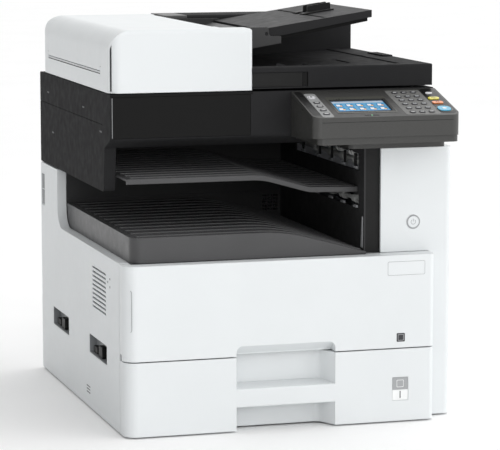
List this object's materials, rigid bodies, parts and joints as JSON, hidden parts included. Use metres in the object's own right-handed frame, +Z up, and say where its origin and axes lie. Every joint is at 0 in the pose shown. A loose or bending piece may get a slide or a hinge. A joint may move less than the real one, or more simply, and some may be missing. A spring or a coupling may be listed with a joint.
{
  "type": "photocopier",
  "caption": "Desktop multifunction copier: hinged document feeder on a flatbed scanner, tilted key panel, side output bay, front door and paper drawer.",
  "frame": {"origin": "centre of the footprint, on the plane that the feet stand on", "axes": "+X to the user's right, -Y towards the user, +Z up"},
  "size_m": [0.594, 0.696, 0.7099],
  "materials": {
    "white_abs": "fine textured satin",
    "charcoal_abs": "fine textured matte",
    "black_abs": "matte",
    "gloss_black": "high gloss",
    "panel_grey": "fine speckled matte",
    "screen_blue": "glossy lit display",
    "clear_glass": "polished",
    "zinc_steel": "zinc plated",
    "rubber_foot": "matte",
    "engine_grey": "satin",
    "tray_grey": "satin",
    "roller_grey": "matte",
    "drum_green": "glossy coated tube",
    "key_dark": "satin",
    "key_white": "satin",
    "key_yellow": "translucent glossy",
    "key_orange": "translucent glossy",
    "key_blue": "translucent glossy"
  },
  "bodies": {
    "frame": {"chassis": "zinc_steel", "feet": "rubber_foot", "left_cover": "white_abs", "rear_cover": "white_abs", "right_cover": "white_abs", "column_cover": "white_abs", "bay_wall": "black_abs", "lower_exit_tray": "charcoal_abs", "upper_exit_tray": "charcoal_abs", "scanner_housing": "charcoal_abs", "platen_glass": "clear_glass", "scanner_front_panel": "gloss_black", "panel_housing": "panel_grey", "touch_screen": "screen_blue", "fuser_unit": "engine_grey", "toner_container": "black_abs", "power_inlet": "black_abs"},
    "document_processor": {"document_lid": "charcoal_abs", "adf_body": "white_abs"},
    "feed_cover": {"adf_cover": "white_abs"},
    "original_tray": {"document_tray": "charcoal_abs"},
    "guide_rear": {"document_guide_rear": "black_abs"},
    "guide_front": {"document_guide_front": "black_abs"},
    "front_door": {"front_cover": "white_abs"},
    "cassette": {"cassette_front": "white_abs", "cassette_tray": "tray_grey"},
    "conveying_door": {"side_door": "white_abs"},
    "hand_feed_tray": {"bypass_tray": "white_abs"},
    "lower_roller_shaft": {"lower_exit_rollers": "roller_grey"},
    "upper_roller_shaft": {"upper_exit_rollers": "roller_grey"},
    "drum": {"photo_drum": "drum_green"},
    "carriage": {"scan_carriage": "black_abs"},
    "power_key": {"power_button": "white_abs"},
    "key_menu": {"key_menu": "key_dark"},
    "key_counter": {"key_counter": "key_dark"},
    "key_logout": {"key_logout": "key_dark"},
    "key_1": {"key_1": "key_dark"},
    "key_2": {"key_2": "key_dark"},
    "key_3": {"key_3": "key_dark"},
    "key_4": {"key_4": "key_dark"},
    "key_5": {"key_5": "key_dark"},
    "key_6": {"key_6": "key_dark"},
    "key_7": {"key_7": "key_dark"},
    "key_8": {"key_8": "key_dark"},
    "key_9": {"key_9": "key_dark"},
    "key_star": {"key_star": "key_dark"},
    "key_0": {"key_0": "key_dark"},
    "key_hash": {"key_hash": "key_dark"},
    "key_address": {"key_address": "key_dark"},
    "key_recall": {"key_recall": "key_dark"},
    "key_clear": {"key_clear": "key_dark"},
    "key_power_save": {"key_power_save": "key_white"},
    "key_reset": {"key_reset": "key_yellow"},
    "key_stop": {"key_stop": "key_orange"},
    "key_start": {"key_start": "key_blue"},
    "key_home": {"key_home": "key_white"},
    "key_copy": {"key_copy": "key_dark"},
    "key_send": {"key_send": "key_dark"},
    "key_box": {"key_box": "key_dark"},
    "key_favourite": {"key_favourite": "key_dark"}
  },
  "joints": [
    {"name": "processor_hinge", "type": "hinge", "parent": "frame", "child": "document_processor", "pos_m": [0, 0.331, 0.583], "axis": [-1, 0, 0], "range_deg": [0, 60]},
    {"name": "feed_cover_hinge", "type": "hinge", "parent": "document_processor", "child": "feed_cover", "pos_m": [-0.293, 0.061, 0.611], "axis": [0, -1, 0], "range_deg": [0, 80]},
    {"name": "original_tray_hinge", "type": "hinge", "parent": "document_processor", "child": "original_tray", "pos_m": [0.014, 0.053, 0.66295], "axis": [0, -1, 0], "range_deg": [0, 30]},
    {"name": "guide_rear_slide", "type": "slide", "parent": "original_tray", "child": "guide_rear", "axis": [0, 1, 0], "range_m": [-0.003, 0.12]},
    {"name": "guide_front_slide", "type": "slide", "parent": "original_tray", "child": "guide_front", "axis": [0, -1, 0], "range_m": [-0.003, 0.12]},
    {"name": "front_door_hinge", "type": "hinge", "parent": "frame", "child": "front_door", "pos_m": [-0.02, -0.31, 0.1376], "axis": [1, 0, 0], "range_deg": [0, 90]},
    {"name": "cassette_slide", "type": "slide", "parent": "frame", "child": "cassette", "axis": [0, -1, 0], "range_m": [0, 0.34]},
    {"name": "conveying_door_hinge", "type": "hinge", "parent": "frame", "child": "conveying_door", "pos_m": [0.292, 0.226, 0.264], "axis": [0, 0, 1], "range_deg": [0, 75]},
    {"name": "hand_feed_hinge", "type": "hinge", "parent": "conveying_door", "child": "hand_feed_tray", "pos_m": [0.292, 0.025, 0.1685], "axis": [0, 1, 0], "range_deg": [0, 75]},
    {"name": "lower_roller_spin", "type": "hinge", "parent": "frame", "child": "lower_roller_shaft", "pos_m": [0.15, -0.06, 0.379], "axis": [0, 1, 0], "continuous": true},
    {"name": "upper_roller_spin", "type": "hinge", "parent": "frame", "child": "upper_roller_shaft", "pos_m": [0.15, -0.06, 0.447], "axis": [0, 1, 0], "continuous": true},
    {"name": "drum_spin", "type": "hinge", "parent": "frame", "child": "drum", "pos_m": [0.12, -0.02, 0.215], "axis": [0, 1, 0], "continuous": true},
    {"name": "carriage_slide", "type": "slide", "parent": "frame", "child": "carriage", "axis": [1, 0, 0], "range_m": [0, 0.405]},
    {"name": "power_key_press", "type": "slide", "parent": "frame", "child": "power_key", "axis": [0, 1, 0], "range_m": [0, 0.001], "stiffness_N_per_m": 400, "springref_m": -0.0005},
    {"name": "press_menu", "type": "slide", "parent": "frame", "child": "key_menu", "axis": [0, 0.2622, -0.965], "range_m": [0, 0.001], "stiffness_N_per_m": 400, "springref_m": -0.0005},
    {"name": "press_counter", "type": "slide", "parent": "frame", "child": "key_counter", "axis": [0, 0.2622, -0.965], "range_m": [0, 0.001], "stiffness_N_per_m": 400, "springref_m": -0.0005},
    {"name": "press_logout", "type": "slide", "parent": "frame", "child": "key_logout", "axis": [0, 0.2622, -0.965], "range_m": [0, 0.001], "stiffness_N_per_m": 400, "springref_m": -0.0005},
    {"name": "press_1", "type": "slide", "parent": "frame", "child": "key_1", "axis": [0, 0.2622, -0.965], "range_m": [0, 0.001], "stiffness_N_per_m": 400, "springref_m": -0.0005},
    {"name": "press_2", "type": "slide", "parent": "frame", "child": "key_2", "axis": [0, 0.2622, -0.965], "range_m": [0, 0.001], "stiffness_N_per_m": 400, "springref_m": -0.0005},
    {"name": "press_3", "type": "slide", "parent": "frame", "child": "key_3", "axis": [0, 0.2622, -0.965], "range_m": [0, 0.001], "stiffness_N_per_m": 400, "springref_m": -0.0005},
    {"name": "press_4", "type": "slide", "parent": "frame", "child": "key_4", "axis": [0, 0.2622, -0.965], "range_m": [0, 0.001], "stiffness_N_per_m": 400, "springref_m": -0.0005},
    {"name": "press_5", "type": "slide", "parent": "frame", "child": "key_5", "axis": [0, 0.2622, -0.965], "range_m": [0, 0.001], "stiffness_N_per_m": 400, "springref_m": -0.0005},
    {"name": "press_6", "type": "slide", "parent": "frame", "child": "key_6", "axis": [0, 0.2622, -0.965], "range_m": [0, 0.001], "stiffness_N_per_m": 400, "springref_m": -0.0005},
    {"name": "press_7", "type": "slide", "parent": "frame", "child": "key_7", "axis": [0, 0.2622, -0.965], "range_m": [0, 0.001], "stiffness_N_per_m": 400, "springref_m": -0.0005},
    {"name": "press_8", "type": "slide", "parent": "frame", "child": "key_8", "axis": [0, 0.2622, -0.965], "range_m": [0, 0.001], "stiffness_N_per_m": 400, "springref_m": -0.0005},
    {"name": "press_9", "type": "slide", "parent": "frame", "child": "key_9", "axis": [0, 0.2622, -0.965], "range_m": [0, 0.001], "stiffness_N_per_m": 400, "springref_m": -0.0005},
    {"name": "press_star", "type": "slide", "parent": "frame", "child": "key_star", "axis": [0, 0.2622, -0.965], "range_m": [0, 0.001], "stiffness_N_per_m": 400, "springref_m": -0.0005},
    {"name": "press_0", "type": "slide", "parent": "frame", "child": "key_0", "axis": [0, 0.2622, -0.965], "range_m": [0, 0.001], "stiffness_N_per_m": 400, "springref_m": -0.0005},
    {"name": "press_hash", "type": "slide", "parent": "frame", "child": "key_hash", "axis": [0, 0.2622, -0.965], "range_m": [0, 0.001], "stiffness_N_per_m": 400, "springref_m": -0.0005},
    {"name": "press_address", "type": "slide", "parent": "frame", "child": "key_address", "axis": [0, 0.2622, -0.965], "range_m": [0, 0.001], "stiffness_N_per_m": 400, "springref_m": -0.0005},
    {"name": "press_recall", "type": "slide", "parent": "frame", "child": "key_recall", "axis": [0, 0.2622, -0.965], "range_m": [0, 0.001], "stiffness_N_per_m": 400, "springref_m": -0.0005},
    {"name": "press_clear", "type": "slide", "parent": "frame", "child": "key_clear", "axis": [0, 0.2622, -0.965], "range_m": [0, 0.001], "stiffness_N_per_m": 400, "springref_m": -0.0005},
    {"name": "press_power_save", "type": "slide", "parent": "frame", "child": "key_power_save", "axis": [0, 0.2622, -0.965], "range_m": [0, 0.001], "stiffness_N_per_m": 400, "springref_m": -0.0005},
    {"name": "press_reset", "type": "slide", "parent": "frame", "child": "key_reset", "axis": [0, 0.2622, -0.965], "range_m": [0, 0.001], "stiffness_N_per_m": 400, "springref_m": -0.0005},
    {"name": "press_stop", "type": "slide", "parent": "frame", "child": "key_stop", "axis": [0, 0.2622, -0.965], "range_m": [0, 0.001], "stiffness_N_per_m": 400, "springref_m": -0.0005},
    {"name": "press_start", "type": "slide", "parent": "frame", "child": "key_start", "axis": [0, 0.2622, -0.965], "range_m": [0, 0.001], "stiffness_N_per_m": 400, "springref_m": -0.0005},
    {"name": "press_home", "type": "slide", "parent": "frame", "child": "key_home", "axis": [0, 0.2622, -0.965], "range_m": [0, 0.001], "stiffness_N_per_m": 400, "springref_m": -0.0005},
    {"name": "press_copy", "type": "slide", "parent": "frame", "child": "key_copy", "axis": [0, 0.2622, -0.965], "range_m": [0, 0.001], "stiffness_N_per_m": 400, "springref_m": -0.0005},
    {"name": "press_send", "type": "slide", "parent": "frame", "child": "key_send", "axis": [0, 0.2622, -0.965], "range_m": [0, 0.001], "stiffness_N_per_m": 400, "springref_m": -0.0005},
    {"name": "press_box", "type": "slide", "parent": "frame", "child": "key_box", "axis": [0, 0.2622, -0.965], "range_m": [0, 0.001], "stiffness_N_per_m": 400, "springref_m": -0.0005},
    {"name": "press_favourite", "type": "slide", "parent": "frame", "child": "key_favourite", "axis": [0, 0.2622, -0.965], "range_m": [0, 0.001], "stiffness_N_per_m": 400, "springref_m": -0.0005}
  ],
  "couplings": [
    {"joint": "guide_front_slide", "follows": "guide_rear_slide", "ratio": 1}
  ]
}
